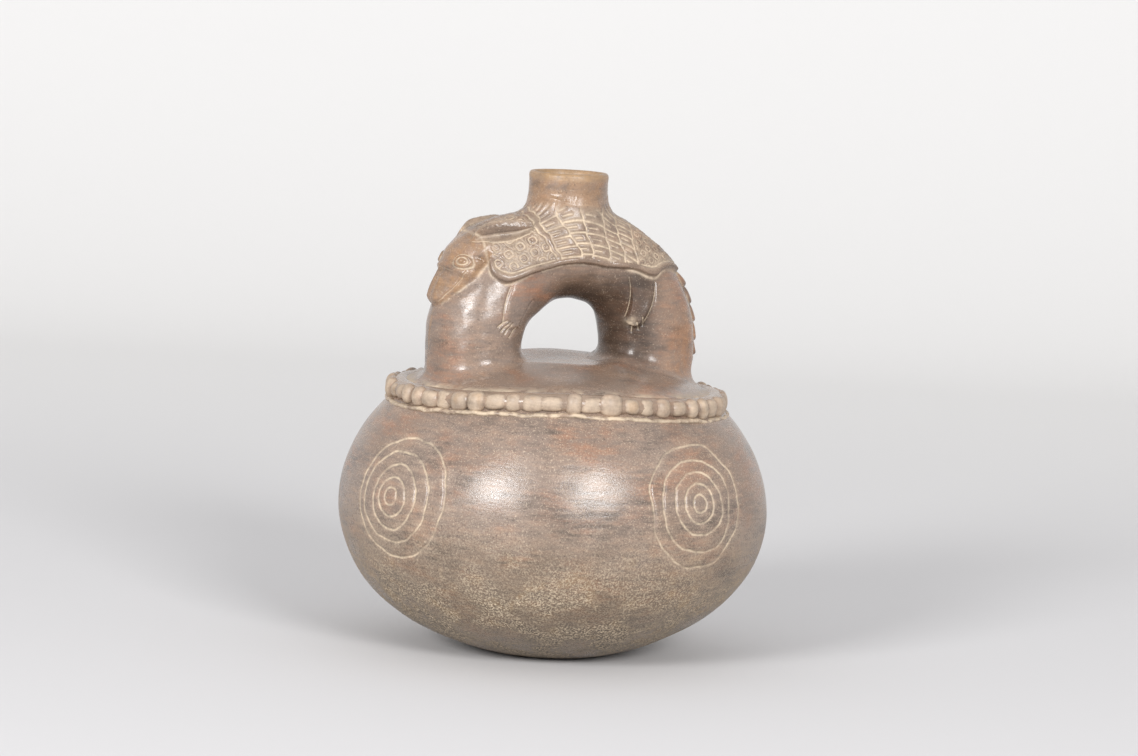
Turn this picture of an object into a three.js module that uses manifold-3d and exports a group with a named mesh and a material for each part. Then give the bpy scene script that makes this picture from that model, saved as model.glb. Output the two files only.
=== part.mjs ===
// A stirrup spout vessel of burnished clay, in millimetres, +Z up.
// It stands on the flat of its rounded bottom, centred on the origin.
// The stirrup lies in the XZ plane: an armadillo straddles it with its head towards -X.
// One fired piece: every form is joined to one solid, then hollowed from the spout down.
import * as THREE from "three";
import { mergeVertices } from "three/addons/utils/BufferGeometryUtils.js";
import Module from "manifold-3d";

// Driving dimensions.
const WALL = 6; // thickness of the fired wall
const BELLY = { radius: 110, height: 74, below: 77, above: 86 }; // two half ellipses
const COLLAR = { radius: 86.6, bottom: 127, top: 137, inner: 79.5, beads: 54, proud: 1.3 };
const DOME = { edge: 34, height: 151.3, dish: 1.6 };
const ARCH = { reach: 47.2, height: 157, legTube: 24.6, crownTube: 22.2, flare: 2.4, bore: 17 };
const SPOUT = { radius: 20.4, top: 246, bore: 16.4, root: 25.5, rootHeight: 227 };
const SHELL = { front: 52, back: -55, proud: 2.8, spread: 99 };
const HEAD = { neck: 32, tip: 73, half: 15.5, snout: 5.5, rise: 8.8, snoutRise: 4.6 };
const EAR = { root: [43, 12], end: [22, 48], half: 3.6, thick: 2.4 }; // degrees along, round
const FORE_LEG = { hip: [44, 96], foot: [80, 112], half: 9, rise: 1.2 };
const HIND_LEG = { hip: [-41, 82], foot: [-68, 128], half: 6.5, rise: 4 };
const TAIL = { start: -54, rings: 8, half: 7, proud: 3, end: 140 };
const BURIED = 24; // how far each leg of the stirrup runs down into the body
const SLIVER = 0.05; // edges shorter than this, left where forms meet, are closed up
const FINE = 60; // sides of the round body
const MIDDLE = 24; // sides of the stirrup

const degrees = THREE.MathUtils.degToRad;
const { lerp, smoothstep, clamp } = THREE.MathUtils;

const wasm = await Module();
wasm.setup();

// A closed three.js geometry as a solid that can be joined and cut.
function solid(geometry) {
  const bare = geometry.clone();
  bare.deleteAttribute("normal");
  bare.deleteAttribute("uv");
  const merged = mergeVertices(bare, 1e-4);
  return new wasm.Manifold(
    new wasm.Mesh({
      numProp: 3,
      vertProperties: new Float32Array(merged.attributes.position.array),
      triVerts: new Uint32Array(merged.index.array),
    }),
  );
}

function geometryOf(made) {
  const mesh = made.getMesh();
  const geometry = new THREE.BufferGeometry();
  geometry.setAttribute("position", new THREE.BufferAttribute(mesh.vertProperties, 3));
  geometry.setIndex(new THREE.BufferAttribute(mesh.triVerts, 1));
  const merged = mergeVertices(geometry, 1e-3);
  merged.computeVertexNormals();
  return merged;
}

// A round form about Z from a profile of [radius, height] pairs that runs from the foot up.
function turned(profile, sides) {
  const points = profile.map(([radius, height]) => new THREE.Vector2(radius, height));
  const geometry = new THREE.LatheGeometry(points, sides);
  geometry.rotateX(degrees(90));
  return geometry;
}

// Moves every vertex of a geometry by a function of its place.
function reshaped(geometry, move) {
  const position = geometry.attributes.position;
  const point = new THREE.Vector3();
  for (let i = 0; i < position.count; i++) {
    move(point.fromBufferAttribute(position, i));
    position.setXYZ(i, point.x, point.y, point.z);
  }
  return geometry;
}

// A capped tube: place(along, turn, out) gives the point at a share of the length, a turn
// about the path in radians, and a share of the radius.
function tube(sides, rows, place) {
  const cylinder = new THREE.CylinderGeometry(1, 1, 1, sides, rows);
  return reshaped(cylinder, (p) => {
    const out = Math.min(Math.hypot(p.x, p.z), 1);
    p.copy(place(p.y + 0.5, Math.atan2(p.x, p.z), out));
  });
}

// A form and its mirror image on the other side of the stirrup's plane.
function bothSides(geometry) {
  const other = geometry.clone().scale(1, -1, 1);
  const index = other.index.array;
  for (let i = 0; i < index.length; i += 3) {
    [index[i + 1], index[i + 2]] = [index[i + 2], index[i + 1]];
  }
  return [geometry, other];
}

// A stretch of an ellipse as [radius, height] pairs, between two heights.
function ellipse(across, centre, tall, from, to, steps) {
  return Array.from({ length: steps + 1 }, (_, i) => {
    const start = Math.asin(clamp((from - centre) / tall, -1, 1));
    const end = Math.asin(clamp((to - centre) / tall, -1, 1));
    const angle = lerp(start, end, i / steps);
    return [across * Math.cos(angle), centre + tall * Math.sin(angle)];
  });
}

// The profile of the body without its collar, taken inwards by an inset.
function bodyProfile(inset, steps) {
  const { radius, height, below, above } = BELLY;
  const lower = ellipse(radius - inset, height, below - inset, inset, height, steps);
  const shoulder = COLLAR.bottom + 3;
  const upper = ellipse(radius - inset, height, above - inset, height, shoulder, steps / 2);
  const dome = Array.from({ length: 3 }, (_, i) => {
    const share = i / 2;
    const rise = Math.sin((share * Math.PI) / 2) * 0.35 + share * 0.65;
    return [
      lerp(COLLAR.inner, DOME.edge, share) - inset * (1 - share),
      lerp(COLLAR.top - 1, DOME.height, rise) - inset,
    ];
  });
  const dish = [[DOME.edge * 0.6, DOME.height - DOME.dish * 0.7 - inset]];
  const middle = [0, DOME.height - DOME.dish - inset];
  return [[0, inset], ...lower, ...upper.slice(1), ...dome, ...dish, middle];
}

// The pressed collar: a square band whose face swells out once for each thumb mark.
function collar() {
  const { radius, bottom, top, inner, beads, proud } = COLLAR;
  const section = [
    [inner - 4, bottom],
    [radius - 1.6, bottom],
    [radius, bottom + 2],
    [radius, top - 2],
    [radius - 2.2, top],
    [inner, top - 0.4],
    [inner - 4, bottom],
  ];
  const band = turned(section, beads * 2);
  return reshaped(band, (p) => {
    const out = Math.hypot(p.x, p.y);
    if (out < inner + 1) return;
    const mark = (Math.atan2(p.y, p.x) * beads) / (2 * Math.PI);
    const swell = 1 + (proud * Math.cos(2 * Math.PI * mark)) / out;
    p.x *= swell;
    p.y *= swell;
  });
}

// The stirrup's middle line and its outward direction, by degrees from the crown: positive
// on the head's side. Past a quarter turn it runs straight down by `drop`.
function spine(angle, drop = 0) {
  const turn = degrees(angle);
  const outward = new THREE.Vector3(-Math.sin(turn), 0, Math.cos(turn));
  const centre = outward.clone().multiplyScalar(ARCH.reach);
  centre.z += ARCH.height - drop;
  return { centre, outward };
}

function tubeRadius(angle) {
  return lerp(ARCH.crownTube, ARCH.legTube, smoothstep(Math.abs(angle), 15, 80));
}

// A point beside the stirrup: round is the turn about the middle line, 0 on its outer side.
function beside({ centre, outward }, round, radius) {
  const point = centre.clone().addScaledVector(outward, radius * Math.cos(round));
  point.y += radius * Math.sin(round);
  return point;
}

// The stirrup, leg to leg, buried at both ends in the body.
function stirrup(sides, rows, radiusAt) {
  const legShare = BURIED / (2 * BURIED + Math.PI * ARCH.reach);
  return tube(sides, rows, (along, turn, out) => {
    const down = Math.max(legShare - Math.min(along, 1 - along), 0) / legShare;
    const angle = clamp((along - legShare) / (1 - 2 * legShare), 0, 1) * 180 - 90;
    return beside(spine(angle, down * BURIED), turn, radiusAt(angle, down) * out);
  });
}

// How far round the stirrup the shell reaches on each side, in degrees.
function shellEdge(angle) {
  const shoulder = 40 * smoothstep(angle, 34, SHELL.front) ** 2;
  const hip = 44 * smoothstep(-angle, 12, -SHELL.back);
  return SHELL.spread - shoulder - hip;
}

// The shell on the animal's back: a thick skin over the crown with a rolled lower rim.
// A row of vertices follows the rim, so that its edge is a clean line.
function shell() {
  const { front, back, proud } = SHELL;
  const rimShare = 7 / 12;
  return tube(24, 26, (along, turn, out) => {
    const angle = lerp(back, front, along);
    const edge = degrees(shellEdge(angle));
    const share = Math.abs(turn) / Math.PI;
    const over = share > rimShare + 1e-6;
    const beyond = (share - rimShare) / (1 - rimShare);
    const round = over ? lerp(edge + degrees(2), Math.PI, beyond) : (share / rimShare) * edge;
    const closing = Math.sqrt(smoothstep(along, 0, 0.07) * smoothstep(1 - along, 0, 0.07));
    const rim = over ? -4 : proud * (0.85 + 0.25 * smoothstep(share, rimShare - 0.12, rimShare));
    const height = over ? rim : lerp(-2, rim, closing);
    return beside(spine(angle), Math.sign(turn) * round, (tubeRadius(angle) + height) * out);
  });
}

// The head lies down the outer side of one leg: a broad skull, a brow and a narrow snout.
function head() {
  const { neck, tip, half, snout, rise, snoutRise } = HEAD;
  return tube(14, 14, (along, turn, out) => {
    const angle = lerp(neck, tip, along);
    const nose = Math.sqrt(1 - 0.85 * clamp((along - 0.92) / 0.08, 0, 1) ** 2);
    const wide = lerp(half, snout, smoothstep(along, 0.5, 0.8)) * nose;
    const skull = rise * smoothstep(along, -0.3, 0.25);
    const high = lerp(skull, snoutRise, smoothstep(along, 0.56, 0.72)) * nose;
    const { centre, outward } = spine(angle);
    const buried = 7;
    const deep = Math.cos(turn) > 0 ? high + buried : 2;
    centre.addScaledVector(outward, tubeRadius(angle) - buried + deep * Math.cos(turn) * out);
    centre.y += wide * Math.sin(turn) * out;
    return centre;
  });
}

// A low form laid on the stirrup between two places, each given in degrees along the arch
// and round the tube: shape gives its half width and height at a share of its length.
function laidOn(sides, rows, start, end, shape) {
  const run = degrees(end[0] - start[0]) * ARCH.reach;
  const round = degrees(end[1] - start[1]) * ARCH.legTube;
  const length = Math.hypot(run, round);
  return tube(sides, rows, (along, turn, out) => {
    const { half, rise, deep } = shape(along);
    const across = half * Math.sin(turn) * out;
    const angle = lerp(start[0], end[0], along);
    const slip = THREE.MathUtils.radToDeg((across * round) / length / ARCH.reach);
    const twist = (across * run) / length / ARCH.legTube;
    const place = spine(angle - slip);
    const lift = (Math.cos(turn) > 0 ? rise : deep) * Math.cos(turn) * out;
    const turned = degrees(lerp(start[1], end[1], along)) + twist;
    return beside(place, turned, tubeRadius(angle) + lift);
  });
}

// A leaf-shaped ear laid back along the shoulder.
function ear() {
  return laidOn(8, 6, EAR.root, EAR.end, (along) => {
    const leaf = Math.sqrt(Math.max(1 - (2 * along - 1) ** 2, 0.03));
    return { half: EAR.half * leaf, rise: SHELL.proud + EAR.thick * leaf + 1.6, deep: 3 };
  });
}

// A leg that lies along the side of the stirrup, from under the shell to a blunt foot.
function leg({ hip, foot, half, rise }) {
  return laidOn(8, 6, hip, foot, (along) => {
    const blunt = Math.sqrt(1 - 0.9 * along ** 10);
    return { half: half * blunt, rise: lerp(rise, rise * 0.8, along) * blunt, deep: 4 };
  });
}

// One ring of the tail: a low knob on the outer side of the other leg.
function tailRing(index) {
  const arc = degrees(90 + TAIL.start) * (ARCH.reach + ARCH.legTube);
  const pitch = (arc + ARCH.height - TAIL.end) / TAIL.rings;
  const run = (index + 0.5) * pitch;
  const angle = lerp(TAIL.start, -90, Math.min(run / arc, 1));
  const { centre, outward } = spine(angle, Math.max(run - arc, 0));
  const along = new THREE.Vector3(-outward.z, 0, outward.x);
  const taper = 1 - 0.35 * (index / TAIL.rings);
  centre.addScaledVector(outward, tubeRadius(angle) - 1);
  return reshaped(new THREE.SphereGeometry(1, 8, 6), (p) => {
    const point = centre.clone();
    point.addScaledVector(outward, p.x * (TAIL.proud + 1) * taper);
    point.addScaledVector(along, p.z * pitch * 0.62);
    point.y += p.y * TAIL.half * taper;
    p.copy(point);
  });
}

// The short neck of the spout. Its root spreads along the arch and not across it.
function spout() {
  const { radius, top, root, rootHeight } = SPOUT;
  const neck = Array.from({ length: 4 }, (_, i) => {
    const share = i / 3;
    return [radius + (root - radius) * (1 - share) ** 2, lerp(rootHeight, top - 10, share)];
  });
  const lip = [
    [radius + 0.4, top - 3],
    [radius - 0.4, top - 0.8],
    [radius - 1.8, top],
    [0, top],
  ];
  const foot = [
    [0, rootHeight - 12],
    [radius - 2, rootHeight - 12],
  ];
  return reshaped(turned([...foot, ...neck, ...lip], 28), (p) => {
    const out = Math.hypot(p.x, p.y);
    if (out <= radius) return;
    p.y *= lerp(1, radius / out, (p.y / out) ** 2);
  });
}

// Everything that the wall encloses: the belly, both legs of the stirrup and the spout.
function hollow() {
  const belly = solid(turned(bodyProfile(WALL, 6), 32));
  const passage = solid(stirrup(14, 18, () => ARCH.bore));
  const mouth = turned(
    [
      [0, ARCH.height + ARCH.reach],
      [SPOUT.bore - 2, ARCH.height + ARCH.reach],
      [SPOUT.bore, SPOUT.top - 12],
      [SPOUT.bore, SPOUT.top - 1.5],
      [SPOUT.bore + 1.5, SPOUT.top + 1],
      [0, SPOUT.top + 1],
    ],
    20,
  );
  return belly.add(passage).add(solid(mouth));
}

function vessel() {
  const flared = (angle, down) => tubeRadius(angle) + ARCH.flare * down ** 2;
  const forms = [
    turned(bodyProfile(0, 12), FINE),
    collar(),
    stirrup(MIDDLE, 22, flared),
    shell(),
    head(),
    spout(),
    ...[ear(), leg(FORE_LEG), leg(HIND_LEG)].flatMap(bothSides),
    ...Array.from({ length: TAIL.rings }, (_, i) => tailRing(i)),
  ];
  const joined = forms.map(solid).reduce((whole, form) => whole.add(form));
  return geometryOf(joined.subtract(hollow()).simplify(SLIVER));
}

const clay = new THREE.MeshStandardMaterial({
  name: "burnished_clay",
  color: 0x8c7569,
  roughness: 0.45,
  metalness: 0,
});

const part = new THREE.Group();
part.name = "stirrup_spout_vessel";
const mesh = new THREE.Mesh(vessel(), clay);
mesh.name = "vessel";
part.add(mesh);

export default part;
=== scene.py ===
# %% [markdown]
# # A stirrup spout bottle in burnished clay
# One potter made this as one piece: a round body, a collar pressed out with the thumb, a hollow
# stirrup that a hand can grip, and a short spout on top of it. An armadillo straddles the
# stirrup, its shell scored while the clay was leather-hard, and cream slip still sits in the
# lines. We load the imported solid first, because every size here follows from it.

# %% The frame
import math

import bpy
import numpy as np
from mathutils import Matrix, Vector


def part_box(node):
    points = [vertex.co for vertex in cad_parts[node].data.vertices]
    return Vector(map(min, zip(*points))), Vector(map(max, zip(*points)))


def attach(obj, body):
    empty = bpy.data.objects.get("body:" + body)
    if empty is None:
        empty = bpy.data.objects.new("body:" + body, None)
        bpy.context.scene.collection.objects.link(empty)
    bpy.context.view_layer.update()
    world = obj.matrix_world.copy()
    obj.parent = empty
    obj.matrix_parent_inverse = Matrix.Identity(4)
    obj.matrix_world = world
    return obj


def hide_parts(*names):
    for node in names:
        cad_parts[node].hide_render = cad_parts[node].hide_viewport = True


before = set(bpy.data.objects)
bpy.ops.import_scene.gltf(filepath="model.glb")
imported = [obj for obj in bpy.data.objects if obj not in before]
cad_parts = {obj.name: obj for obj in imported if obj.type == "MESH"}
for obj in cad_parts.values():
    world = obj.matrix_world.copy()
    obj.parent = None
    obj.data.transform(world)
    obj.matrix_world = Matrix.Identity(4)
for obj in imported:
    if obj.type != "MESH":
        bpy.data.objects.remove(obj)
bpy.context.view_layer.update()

MM = 0.001
widest_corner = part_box("vessel")[1]
BELLY, TALL = widest_corner.x / MM, widest_corner.z / MM
print(f"the body is {2 * BELLY:.0f} mm across and the bottle {TALL:.0f} mm tall")

# %% [markdown]
# ## The camera comes first
# A long lens from a little above the rim shows the stirrup from the side of the animal's head.
# The bottle leans a few degrees in the view, body and table alike, so the camera is rolled and
# the bottle itself stands straight.

# %% Camera
CAMERA = {"azimuth": -22.0, "distance": 2200.0, "height": 385.0, "roll": 3.0}
AIM_HEIGHT = 0.571 * TALL  # of the point on the axis that the camera looks towards
AIM_SIDE = 5.4  # how far right of the axis the middle of the view is
VIEW_WIDTH = 582.6  # what the frame's width covers at the axis
SENSOR = 36.0


def add_camera():
    turn = math.radians(CAMERA["azimuth"])
    away = CAMERA["distance"]
    place = Vector((math.sin(turn) * away, -math.cos(turn) * away, CAMERA["height"]))
    right = Vector((math.cos(turn), math.sin(turn), 0))
    target = Vector((0, 0, AIM_HEIGHT)) + right * AIM_SIDE
    forward = (target - place).normalized()
    right = forward.cross(Vector((0, 0, 1))).normalized()
    up = right.cross(forward)
    roll = math.radians(CAMERA["roll"])
    side = right * math.cos(roll) + up * math.sin(roll)
    top = up * math.cos(roll) - right * math.sin(roll)
    data = bpy.data.cameras.new("camera")
    data.sensor_width = SENSOR
    data.lens = SENSOR * (target - place).length / VIEW_WIDTH
    camera = bpy.data.objects.new("camera", data)
    camera.matrix_world = Matrix.Translation(place * MM) @ Matrix(
        (side, top, -forward)
    ).transposed().to_4x4()
    bpy.context.scene.collection.objects.link(camera)
    bpy.context.scene.camera = camera
    return camera


camera = add_camera()
print(f"a {camera.data.lens:.0f} mm lens, {CAMERA['distance'] * MM:.1f} m away")

# %% [markdown]
# ## Small tools for shapes
# The bottle is worked out with numpy in millimetres. Every surface is a function of two numbers,
# such as a turn round the axis and a length along the profile. `smooth` and `ridge` are the two
# curves that shape nearly everything, and `wobble` is the unevenness that a hand leaves.

# %% Curves and unevenness
def smooth(x, start, end):
    share = np.clip((x - start) / (end - start), 0, 1)
    return share * share * (3 - 2 * share)


def ridge(x, centre, half):
    return np.exp(-(((x - centre) / half) ** 2))


def softest(a, b, blend):
    """The smaller of two distances, rounded where they are within `blend` of each other."""
    near = np.clip(0.5 + 0.5 * (b - a) / blend, 0, 1)
    return b + (a - b) * near - blend * near * (1 - near)


def wobble(points, size, seed, waves=14):
    """A smooth random field of about unit strength, whose lumps are about `size` across."""
    draw = np.random.default_rng(seed)
    total = np.zeros(points.shape[:-1])
    for _ in range(waves):
        way = draw.normal(size=3)
        way *= 2 * np.pi / (size * draw.uniform(0.7, 1.8)) / np.linalg.norm(way)
        total += np.sin(points @ way + draw.uniform(0, 2 * np.pi))
    return total / math.sqrt(waves / 2)


# %% [markdown]
# ## A mesh that is fine only where it must be
# A scored line is about a millimetre wide, and plain clay needs no more than a triangle every
# few millimetres. `refined` starts from a coarse net over the two numbers and halves every edge
# that is longer than the size asked for at its middle. An edge is judged by itself alone, so
# the two sides of the seam split alike and close without a crack.

# %% Splitting a net
def split(tris, middles):
    """Cuts each triangle by the middles of its marked edges (-1 where an edge stays whole)."""
    marked = middles >= 0
    count = marked.sum(1)
    parts = [tris[count == 0]]
    for first in range(3):
        order = [(first + step) % 3 for step in range(3)]
        one = (count == 1) & marked[:, first]
        (a, b, c), m = tris[one][:, order].T, middles[one][:, first]
        parts += [np.stack([a, m, c], 1), np.stack([m, b, c], 1)]
        two = (count == 2) & ~marked[:, order[2]]
        (a, b, c), (m, n, _) = tris[two][:, order].T, middles[two][:, order].T
        parts += [np.stack(t, 1) for t in ((m, b, n), (a, m, n), (a, n, c))]
    (a, b, c), (m, n, o) = tris[count == 3].T, middles[count == 3].T
    parts += [np.stack(t, 1) for t in ((a, m, o), (m, b, n), (o, n, c), (m, n, o))]
    return np.concatenate(parts)


def refined(across, along, place, size, passes=8):
    """Net points and triangles over two numbers, split until place() makes edges of size()."""
    net = np.stack(np.meshgrid(across, along, indexing="ij"), -1).reshape(-1, 2)
    wide, tall = len(across), len(along)
    corner = (np.arange(wide - 1)[:, None] * tall + np.arange(tall - 1)).ravel()
    tris = np.concatenate([
        np.stack([corner, corner + tall, corner + tall + 1], 1),
        np.stack([corner, corner + tall + 1, corner + 1], 1),
    ])
    for _ in range(passes):
        edges = np.sort(tris[:, [0, 1, 1, 2, 2, 0]].reshape(-1, 2), 1)
        keys, back = np.unique(edges[:, 0] * len(net) + edges[:, 1], return_inverse=True)
        one, other = keys // len(net), keys % len(net)
        points = place(net)
        length = np.linalg.norm(points[one] - points[other], axis=1)
        middle = (net[one] + net[other]) / 2
        long = length > 1.4 * size(middle)
        if not long.any():
            break
        number = np.where(long, len(net) + np.cumsum(long) - 1, -1)
        net = np.concatenate([net, middle[long]])
        tris = split(tris, number[back.reshape(-1, 3)])
    return net, tris


# %% Making a mesh object from arrays
def closed(points, tris):
    """Merges points that fall together and drops the triangles that vanish with them."""
    rounded = np.round(points, 3) + 0.0
    unique, back = np.unique(rounded, axis=0, return_inverse=True)
    tris = back.reshape(-1)[tris]
    whole = (
        (tris[:, 0] != tris[:, 1]) & (tris[:, 1] != tris[:, 2]) & (tris[:, 2] != tris[:, 0])
    )
    return unique, tris[whole]


def outward(points, tris):
    a, b, c = (points[tris[:, i]] for i in range(3))
    volume = np.einsum("ij,ij->i", a, np.cross(b, c)).sum()
    return tris if volume > 0 else tris[:, ::-1]


def mesh_object(name, points, tris):
    points, tris = closed(points, tris)
    tris = outward(points, tris)
    mesh = bpy.data.meshes.new(name)
    mesh.vertices.add(len(points))
    mesh.vertices.foreach_set("co", (points * MM).astype(np.float32).ravel())
    mesh.loops.add(tris.size)
    mesh.loops.foreach_set("vertex_index", tris.astype(np.int32).ravel())
    mesh.polygons.add(len(tris))
    mesh.polygons.foreach_set("loop_start", np.arange(0, tris.size, 3, dtype=np.int32))
    mesh.update(calc_edges=True)
    mesh.validate()
    made = bpy.data.objects.new(name, mesh)
    bpy.context.scene.collection.objects.link(made)
    return made


def spun(net, stops, profile):
    """Points about Z at (turn, run), where profile holds (radius, height) at each stop."""
    turn, run = net.T
    radius, height = (np.interp(run, stops, profile[:, i]) for i in range(2))
    return np.stack([radius * np.cos(turn), radius * np.sin(turn), height], 1)


def unsplit(net):
    """A size that leaves every edge of the first net whole."""
    return np.full(len(net), 999.0)


def turned(name, profile, sides):
    """A round form about Z from a profile of (radius, height) points."""
    profile, stops = np.array(profile, float), np.arange(len(profile))
    place = lambda net: spun(net, stops, profile)
    net, tris = refined(np.linspace(0, 2 * np.pi, sides + 1), stops, place, unsplit)
    return mesh_object(name, place(net), tris)


def final_mesh(made):
    """Bakes an object's modifiers into its mesh and takes them off."""
    graph = bpy.context.evaluated_depsgraph_get()
    mesh = bpy.data.meshes.new_from_object(made.evaluated_get(graph))
    made.modifiers.clear()
    made.data = mesh
    return made


def joined(made, tools):
    """made with each (object, operation) of tools joined to it or cut from it."""
    for tool, operation in tools:
        step = made.modifiers.new(operation.lower(), "BOOLEAN")
        step.operation = operation
        step.solver = "MANIFOLD"
        step.object = tool
        final_mesh(made)
        bpy.data.objects.remove(tool)
    return made


def move_to(made, points):
    made.data.vertices.foreach_set("co", (points * MM).astype(np.float32).ravel())
    made.data.update()


def vertices(made):
    flat = np.empty(len(made.data.vertices) * 3, np.float32)
    made.data.vertices.foreach_get("co", flat)
    return flat.reshape(-1, 3).astype(float) / MM


COLLAR_LIFT = 4.4  # how much higher the collar is at the front, in millimetres
LIFT_TURN, LIFT_SPREAD = 6, 42  # degrees from the front to the highest place, and its reach


def lifted(made):
    """Raises the front of the collar and the clay round it, as the hand-built one is."""
    points = vertices(made)
    turn = np.degrees(np.arctan2(points[:, 0], -points[:, 1])) - CAMERA["azimuth"]
    radius = np.hypot(points[:, 0], points[:, 1])
    share = ridge(turn, LIFT_TURN, LIFT_SPREAD) * smooth(radius, 38, 80)
    share *= smooth(points[:, 2], 84, 126)
    points[:, 2] += COLLAR_LIFT * share
    move_to(made, points)


def paint(made, **layers):
    """Stores one number per vertex under each name, for the materials to read."""
    for name, values in layers.items():
        layer = made.data.attributes.new(name, "FLOAT", "POINT")
        layer.data.foreach_set("value", np.asarray(values, np.float32))
    made.data.shade_smooth()


def cover(made, material):
    """Gives every face one material, in place of what the joining left."""
    made.data.materials.clear()
    made.data.materials.append(material)
    made.data.polygons.foreach_set("material_index", [0] * len(made.data.polygons))


def report(made):
    print(f"{made.name}: {len(made.data.polygons)} faces")


# %% [markdown]
# ## The body
# The outline is two half ellipses that meet at the widest ring, flattened where it stands. The
# wall is as thick as the solid's. Four medallions of five rings each are scored round the belly,
# drawn by hand: each ring wanders a little and none is quite centred.

# %% Profile of the body
WALL = 6.0
WIDEST = 0.3008 * TALL
BELOW, ABOVE = 77.0, 86.0  # half heights of the two ellipses
COLLAR_HIGH = 137.0
SEAM = 130.0  # the bowl ends and the shoulder starts here, hidden inside the collar


def ellipse(inset, low, high, steps):
    """(radius, height) points of the outline, taken inwards by inset, between two heights."""
    height = np.linspace(low, high, steps)
    half = np.where(height < WIDEST, BELOW, ABOVE) - inset
    share = np.clip((height - WIDEST) / half, -1, 1)
    return np.stack([(BELLY - inset) * np.sqrt(1 - share**2), height], 1)


def even(points, spacing):
    """The same line with points every `spacing` along it."""
    steps = np.linalg.norm(np.diff(points, axis=0), axis=1)
    run = np.concatenate([[0], np.cumsum(steps)])
    new = np.linspace(0, run[-1], max(int(run[-1] / spacing), 1) + 1)
    return np.stack([np.interp(new, run, points[:, i]) for i in range(2)], 1)


outside = even(ellipse(0, 0.0, SEAM, 2000), 0.5)
foot = even(np.array([[0.0, 0.7], [outside[0, 0] * 0.8, 0.25], [outside[0, 0], 0.0]]), 4.0)
inside = even(ellipse(WALL, WALL + 0.5, SEAM, 400)[::-1], 7.0)
bowl_line = np.concatenate([foot[:-1], outside, inside, [[0.0, WALL + 0.5]]])
bowl_run = np.concatenate([[0], np.cumsum(np.linalg.norm(np.diff(bowl_line, axis=0), axis=1))])
OUTSIDE_START = bowl_run[len(foot) - 1]
OUTSIDE_END = bowl_run[len(foot) - 2 + len(outside)]
print(f"the outline runs {OUTSIDE_END:.0f} mm from the middle of the foot to the collar")

# %% The scored medallions
RINGS = (4.4, 9.7, 15.7, 23.0, 30.4)
MEDALLIONS = (  # turn from the front, height, drift of the outer rings sideways and up, seed
    (21.0, 90.1, 0.5, -1.6, 5), (111.0, 85.0, 1.5, 1.0, 8),
    (200.0, 86.0, -2.0, 1.0, 13), (-70.0, 85.2, 4.6, -0.8, 3),
)
LINE = 0.62  # half width of a scored line
BOWL_GROOVE, TOP_GROOVE = 0.55, 0.62  # how deep the lines are
wall_part = slice(len(foot), len(foot) + len(outside))
run_at = lambda height: np.interp(height, bowl_line[wall_part, 1], bowl_run[wall_part])


def medallion_lines(turn, run, radius):
    """How far each place on the belly is from the nearest scored ring, in millimetres."""
    nearest = np.full(turn.shape, 99.0)
    for centre, height, aside, above, seed in MEDALLIONS:
        draw = np.random.default_rng(seed)
        off = turn - math.radians(centre - 90)
        side = (np.mod(off + np.pi, 2 * np.pi) - np.pi) * radius
        up = run - run_at(height)
        for index, ring in enumerate(RINGS):
            miss = draw.normal(0, 0.16 * index, 2)
            drift = ring / RINGS[-1]
            x, y = side - miss[0] - aside * drift, up - miss[1] - above * drift
            angle = np.arctan2(y, x)
            wander = 1 + sum(
                draw.normal(0, 0.028 / wave**0.6) * np.sin(wave * angle + draw.uniform(0, 6.3))
                for wave in (2, 3, 4, 5, 8)
            )
            wander += 0.006 * np.sin(11 * angle + 2 * index) + 0.005 * np.sin(19 * angle + index)
            nearest = np.minimum(nearest, np.abs(np.hypot(x, y) - ring * wander))
    return nearest


# %% The bowl
def bowl_base(net):
    return spun(net, bowl_run, bowl_line)


def bowl_lines(net):
    radius = np.interp(net[:, 1], bowl_run, bowl_line[:, 0])
    gap = medallion_lines(net[:, 0], net[:, 1], radius)
    outer = (net[:, 1] > OUTSIDE_START) & (net[:, 1] < OUTSIDE_END)
    return np.where(outer, gap, 99.0)


def bowl_size(net):
    gap = bowl_lines(net)
    plain = np.where(net[:, 1] > OUTSIDE_END + 2, 8.0, 3.6)
    return np.clip(0.5 + 0.55 * np.maximum(gap - 1.2, 0), 0.5, plain)


def bowl_surface(net):
    points = bowl_base(net)
    flat = points * [1, 1, 0]
    out = flat / np.maximum(np.linalg.norm(flat, axis=1, keepdims=True), 1e-9)
    rise = np.clip((points[:, 2] - WIDEST) / BELOW, -1, 1)[:, None]
    normal = out * np.sqrt(1 - rise**2) + np.array([0, 0, 1.0]) * rise
    outer = smooth(net[:, 1], OUTSIDE_START, OUTSIDE_START + 25)
    outer *= 1 - smooth(net[:, 1], OUTSIDE_END - 8, OUTSIDE_END - 2)
    hand = 0.55 * wobble(points, 90, 21) + 0.1 * wobble(points, 22, 22)
    groove = BOWL_GROOVE * ridge(bowl_lines(net), 0, LINE * 1.15)
    return points + normal * ((hand * 0.8 - 0.3) * outer - groove)[:, None]


bowl_turns = np.linspace(0, 2 * np.pi, 97)
bowl_stops = np.concatenate([
    np.arange(0, OUTSIDE_START, 6.0),
    np.linspace(OUTSIDE_START, OUTSIDE_END, 36),
    bowl_run[len(foot) - 1 + len(outside):],
])
net, tris = refined(bowl_turns, bowl_stops, bowl_base, bowl_size)
bowl = mesh_object("bowl", bowl_surface(net), tris)
report(bowl)

# %% [markdown]
# ## The stirrup
# The stirrup is a half ring of tube on two upright legs. A place on it has two numbers: `along`,
# degrees from the crown (positive towards the head, and past 90 straight down a leg), and
# `turn`, degrees about the tube from its outer side. The animal is a relief over those two
# numbers, so its shell, head, ears and paws are heights above the plain tube, and the scored
# lines are distances measured on the same net.

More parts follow.
